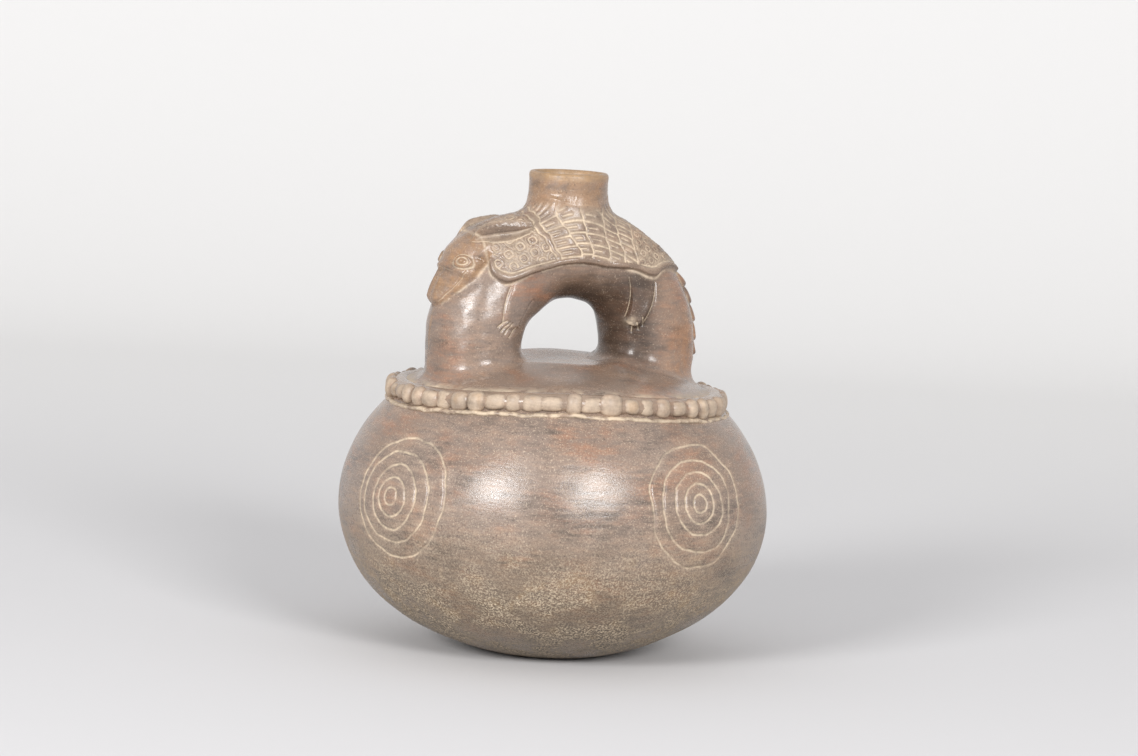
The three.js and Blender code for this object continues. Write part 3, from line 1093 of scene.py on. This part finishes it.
# %% The strip and its lower lip
def strip(radius, height, half_width, half_height, sway, seed):
    """A ring of flattened section whose height wanders by `sway`."""
    circle = ring.add("GeometryNodeCurvePrimitiveCircle", None, {"Resolution": 540, "Radius": radius})
    place = ring.add("GeometryNodeInputPosition")
    shift = ring.noise(place, 16, seed) - 0.5
    grow = ring.noise(place, 7, seed + 3) - 0.5
    circle = ring.add("GeometryNodeSetPosition", None, {
        "Geometry": circle, "Offset": vector(0.0, 0.0, height + (shift + grow * 0.5) * sway),
    })
    section = ring.add("GeometryNodeCurvePrimitiveCircle", None, {"Resolution": 16, "Radius": 1.0})
    section = ring.add("GeometryNodeTransform", None, {
        "Geometry": section, "Scale": vector(half_width, half_height, 1.0),
    })
    return ring.add("GeometryNodeCurveToMesh", None, {"Curve": circle, "Profile Curve": section})


radius, height = size["Radius"], size["Height"]
band = strip(radius - 3.8 * MM, height, 6.2 * MM, 4.9 * MM, sway=0.6 * MM, seed=2.0)
lip = strip(radius + 2.2 * MM, height - 6.0 * MM, 1.9 * MM, 1.2 * MM, sway=4.2 * MM, seed=9.0)
lip = ring.add("GeometryNodeStoreNamedAttribute", {"data_type": "FLOAT", "domain": "POINT"}, {
    "Geometry": lip, "Name": "lip", "Value": 1.0,
})
union = collar_tree.nodes.new("GeometryNodeJoinGeometry")
for part in (lip, band, beads):
    collar_tree.links.new(part.socket, union.inputs[0])
whole = ring.add("GeometryNodeRealizeInstances", None, {0: Wire(ring, union.outputs[0])})
whole = ring.add("GeometryNodeSetShadeSmooth", None, {0: whole})
whole = ring.add("GeometryNodeSetMaterial", None, {0: whole, "Material": size["Clay"]})
leaves = collar_tree.nodes.new("NodeGroupOutput")
collar_tree.links.new(whole.socket, leaves.inputs[0])

# %% [markdown]
# ## The clay
# Iron-rich clay fired without enough air comes out grey-brown, with redder patches where a little
# air got in and dark clouds where smoke lay on it. The potter rubbed it with a pebble, so it has
# a soft shine in level streaks. Every piece shares this clay. `Clay` makes it, and each piece
# then lays its own colours over it: `over` puts one colour where a mask is 1.

# %% The shared clay
def srgb(red, green, blue):
    """A linear colour from its screen values, 0 to 255."""
    return tuple((value / 255) ** 2.2 for value in (red, green, blue)) + (1.0,)


CREAM, SLIP = srgb(184, 166, 144), srgb(192, 174, 150)
GREY_CLAY, BROWN_CLAY, RED_CLAY = srgb(128, 113, 103), srgb(129, 107, 91), srgb(135, 99, 79)
SMOKE, OCHRE = srgb(76, 67, 61), srgb(160, 130, 92)
# The first two colours on the next line are painted shade: the darker lower belly and the still darker ring
# near the table.
LOWER_BELLY_SHADE, TABLE_SHADE, PIT, RUBBED = srgb(100, 86, 68), srgb(64, 57, 49), srgb(60, 53, 48), srgb(196, 180, 160)
# The second colour on the next line is painted shade, laid under the arch and in the ears.
RUSSET, PAINTED_SHADE, SHELL, TAN = srgb(152, 112, 82), srgb(58, 46, 38), srgb(116, 98, 84), srgb(144, 112, 82)
BAND, BEAD, BEAD_SHADE = srgb(146, 126, 108), srgb(176, 158, 138), srgb(150, 124, 98)


class Clay(Nodes):
    """The bottle's clay: a colour, a roughness and a relief that can be added to."""

    def __init__(self, name):
        self.material = bpy.data.materials.new(name)
        self.material.use_nodes = True
        super().__init__(self.material.node_tree)
        self.place = self.add("ShaderNodeTexCoord", out="Object")
        self.z = self.add("ShaderNodeSeparateXYZ", None, {0: self.place}, out="Z") * (1 / MM)
        level = self.stretched(self.place, 1, 1, 4.5)
        self.streak = self.noise(level, 13, 1.3, 5, 0.65)
        self.cloud = self.noise(self.place, 60, 4.1, 3)
        self.grain = self.noise(self.place, 1.1, 7.7, 4, 0.7)
        warm = (self.cloud * 0.5 + self.streak * 0.5).step(0.38, 0.66)
        self.colour = self.blend(warm, GREY_CLAY, BROWN_CLAY)
        red = self.noise(self.stretched(self.place, 1, 1, 1.8), 34, 12.0, 5, 0.6)
        self.over(RED_CLAY, red.step(0.46, 0.66) * (self.streak.step(0.3, 0.66) * 0.75 + 0.1))
        smoke = self.noise(self.stretched(self.place, 1, 1, 2.2), 42, 21.0, 5, 0.62)
        self.over(SMOKE, smoke.step(0.48, 0.68) * (0.75 - self.streak.step(0.34, 0.6) * 0.5))
        self.shade = 0.47 + self.streak * 1.05 + (self.grain - 0.5) * 0.7
        self.rough = 0.13 + self.streak * 0.22 + (self.grain - 0.5) * 0.24
        self.relief = self.grain * 0.24 + self.streak * 0.35

    def over(self, colour, mask, rough=None):
        self.colour = self.blend(mask, self.colour, colour)
        if rough is not None:
            self.rough = self.rough * (1 - mask) + mask * rough

    def finish(self):
        tint = self.add("ShaderNodeCombineXYZ", None, {
            "X": self.shade, "Y": self.shade, "Z": self.shade,
        })
        settings = {"data_type": "RGBA", "blend_type": "MULTIPLY"}
        colour = self.add("ShaderNodeMix", settings, {0: 1.0, 6: self.colour, 7: tint}, out=2)
        normal = self.add("ShaderNodeBump", None, {
            "Strength": 0.6, "Distance": 0.6 * MM, "Height": self.relief,
        })
        shader = self.tree.nodes["Principled BSDF"]
        for socket, wire in (("Base Color", colour), ("Roughness", self.rough), ("Normal", normal)):
            self.tree.links.new(wire.socket, shader.inputs[socket])
        shader.inputs["IOR"].default_value = 1.5
        print(f"{self.material.name}: {len(self.tree.nodes)} nodes")
        return self.material


# %% [markdown]
# Cream slip was rubbed into the lines and has worn out of some of them, so its mask is broken by
# a fine noise. The lower belly is scoured: pale pits and specks lie thickly there, with ochre
# between them. Beneath the specks lies painted shade: the lower belly is darker in patches, and
# darker still near the table.

# %% Clay of the bowl
def slip_in_lines(clay):
    worn = clay.noise(clay.place, 9, 31.0, 3).step(0.32, 0.6)
    broken = clay.noise(clay.place, 1.4, 33.0, 2).step(0.3, 0.6)
    line = clay.attribute("line").step(0.15, 0.85)
    clay.over(SLIP, line * (0.25 + worn * 0.7) * (0.4 + broken * 0.6), 0.8)


def specks(clay, size, seed, low, high):
    """Small pale pits that lie thickly where low and high let them."""
    return clay.noise(clay.place, size, seed, 3, 0.75).step(low, high)


clay = Clay("clay_of_bowl")
patchy = clay.noise(clay.place, 22, 40.0, 4, 0.65)
below = 1 - (clay.z + (patchy - 0.5) * 50).step(24, 92)
scoured = below * patchy.step(0.4, 0.58)
# painted shade: the lower belly darker towards the table, in patches
clay.over(LOWER_BELLY_SHADE, below * (0.4 + patchy * 0.6))
clay.over(OCHRE, scoured * clay.noise(clay.place, 11, 42.0, 3).step(0.5, 0.68) * 0.45, 0.6)
# painted shade: darker still near the table, in patches
clay.over(TABLE_SHADE, (1 - clay.z.step(3, 48)) * patchy.step(0.38, 0.56) * 0.75)
clay.over(SLIP, specks(clay, 1.0, 44.0, 0.47, 0.58) * (scoured * 0.85 + below * 0.2), 0.85)
clay.over(CREAM, specks(clay, 0.8, 47.0, 0.55, 0.65) * (0.2 + patchy * 0.75), 0.8)
clay.over(PIT, specks(clay, 1.2, 49.0, 0.58, 0.68) * 0.6)
clay.over(RUBBED, clay.attribute("halo") * clay.streak.step(0.3, 0.7) * 0.16)
slip_in_lines(clay)
clay.rough = clay.rough + scoured * 0.25
clay.relief = clay.relief - specks(clay, 1.0, 44.0, 0.49, 0.6) * scoured * 0.5
cover(bowl, clay.finish())

# %% Clay of the top
clay = Clay("clay_of_top")
mottle = clay.noise(clay.place, 7, 60.0, 4, 0.6)
clay.over(RUSSET, clay.attribute("warm") * mottle.step(0.3, 0.6) * 0.7)
# painted shade under the arch and in the ears, mottled
clay.over(PAINTED_SHADE, clay.attribute("dark") * (0.55 + mottle * 0.5))
clay.over(SHELL, clay.attribute("shell") * (0.2 + mottle * 0.7))
clay.over(TAN, clay.attribute("tan") * (0.1 + mottle.step(0.3, 0.62) * 0.7))
clay.over(OCHRE, clay.attribute("lip") * (0.15 + mottle * 0.6), 0.6)
clay.over(CREAM, clay.attribute("dust") * mottle.step(0.35, 0.6), 0.7)
clay.over(CREAM, specks(clay, 0.9, 47.0, 0.58, 0.68) * 0.4, 0.8)
clay.over(PIT, specks(clay, 1.3, 49.0, 0.58, 0.68) * 0.5)
slip_in_lines(clay)
cover(top, clay.finish())

# %% Clay of the collar
clay = Clay("clay_of_collar")
bead = clay.attribute("bead")
mottle = clay.noise(clay.place, 5, 70.0, 4, 0.6)
face = clay.attribute("face")
clay.over(BAND, 0.3 + mottle * 0.4)
clay.over(BEAD, face * (0.3 + bead * 0.7) * (0.35 + mottle.step(0.3, 0.62) * 0.6), 0.75)
clay.over(BEAD_SHADE, face * clay.noise(clay.place, 9, 72.0, 2).step(0.54, 0.7) * 0.55)
clay.over(SLIP, clay.attribute("lip") * mottle.step(0.36, 0.56) * 0.8, 0.8)
clay_of_collar = clay.finish()

# %% Making the collar
collar = bpy.data.objects.new("collar", bpy.data.meshes.new("collar"))
bpy.context.scene.collection.objects.link(collar)
maker = collar.modifiers.new("beads", "NODES")
maker.node_group = collar_tree
for label, value in {
    "Beads": BEADS, "Radius": COLLAR_RADIUS * MM, "Height": 132.4 * MM, "Bead width": 11.9 * MM,
    "Bead height": 10.6 * MM, "Unevenness": 0.36, "Seed": 11, "Clay": clay_of_collar,
}.items():
    maker[collar_sizes[label]] = value
final_mesh(collar)
lifted(collar)
report(collar)

# %% [markdown]
# ## Floor and light
# The bottle stands on a pale sweep of paper: a flat floor that curves up far behind, so no edge
# shows. Two large soft boxes stand either side of the camera and show as the two soft patches on
# the belly. Everything else is even light from the pale surroundings.

# %% Paper sweep
FRONT, BACK, CURVE, HIGH, HALF_WIDE = 2.6, 1.3, 0.9, 3.2, 4.0  # metres
view_turn = math.radians(CAMERA["azimuth"])
away = Vector((-math.sin(view_turn), math.cos(view_turn), 0))


def paper_sweep():
    bend = [turn * degree for turn in range(6, 91, 6)]
    steps = [(-FRONT, 0.0), (BACK, 0.0)]
    steps += [(BACK + CURVE * math.sin(turn), CURVE * (1 - math.cos(turn))) for turn in bend]
    steps += [(BACK + CURVE, HIGH)]
    side = Vector((away.y, -away.x, 0)) * HALF_WIDE
    rows = [[away * d + side * s + Vector((0, 0, z)) for s in (-1, 1)] for d, z in steps]
    mesh = bpy.data.meshes.new("paper")
    faces = [(2 * i, 2 * i + 1, 2 * i + 3, 2 * i + 2) for i in range(len(rows) - 1)]
    mesh.from_pydata([tuple(point) for row in rows for point in row], [], faces)
    mesh.shade_smooth()
    made = bpy.data.objects.new("paper", mesh)
    bpy.context.scene.collection.objects.link(made)
    return made


PAPER_NEAR, PAPER_FAR = srgb(201, 200, 201), srgb(223, 222, 221)
paper = paper_sweep()
paper_finish = bpy.data.materials.new("pale_paper")
paper_finish.use_nodes = True
sheet = Nodes(paper_finish.node_tree)
place = sheet.add("ShaderNodeTexCoord", out="Object")
depth = sheet.add("ShaderNodeVectorMath", {"operation": "DOT_PRODUCT"}, {0: place, 1: away}, "Value")
# painted light: the paper is darker near the bottle and paler further back, up the sweep
painted_light_falloff = sheet.blend(depth.step(0.15, 1.6), PAPER_NEAR, PAPER_FAR)
paper_shader = paper_finish.node_tree.nodes["Principled BSDF"]
sheet.tree.links.new(painted_light_falloff.socket, paper_shader.inputs["Base Color"])
paper_shader.inputs["Roughness"].default_value = 0.9
paper_shader.inputs["Specular IOR Level"].default_value = 0.1
paper.data.materials.append(paper_finish)

# %% Lights
def soft_box(name, turn, rise, away, wide, tall, power):
    """A soft box at an angle from the camera's side of the bottle, facing the belly."""
    around = math.radians(CAMERA["azimuth"] + turn)
    up = math.radians(rise)
    aim = Vector((0, 0, 0.11))
    way = Vector((math.sin(around) * math.cos(up), -math.cos(around) * math.cos(up), math.sin(up)))
    data = bpy.data.lights.new(name, "AREA")
    data.shape, data.size, data.size_y, data.energy = "RECTANGLE", wide, tall, power
    lamp = bpy.data.objects.new(name, data)
    lamp.location = aim + way * away
    lamp.rotation_euler = way.to_track_quat("Z", "Y").to_euler()
    bpy.context.scene.collection.objects.link(lamp)


soft_box("soft_box_left", turn=-33, rise=21, away=3.6, wide=1.05, tall=0.9, power=98)
soft_box("soft_box_right", turn=25, rise=22, away=3.6, wide=1.15, tall=0.9, power=92)
world = bpy.data.worlds.new("pale_room")
world.use_nodes = True
surroundings = world.node_tree.nodes["Background"].inputs
surroundings["Color"].default_value = (0.94, 0.94, 0.95, 1)
surroundings["Strength"].default_value = 0.7
bpy.context.scene.world = world
bpy.context.scene.view_settings.view_transform = "Standard"
print("paper from the table up behind, two soft boxes and an even pale room")

# %% [markdown]
# ## One body for the pieces
# All three pieces are one fired body. Each rides on it and stands for the imported vessel, so none
# can come loose from it.

# %% Riding and replacing
for piece in (bowl, top, collar):
    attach(piece, "root")
    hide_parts("vessel")
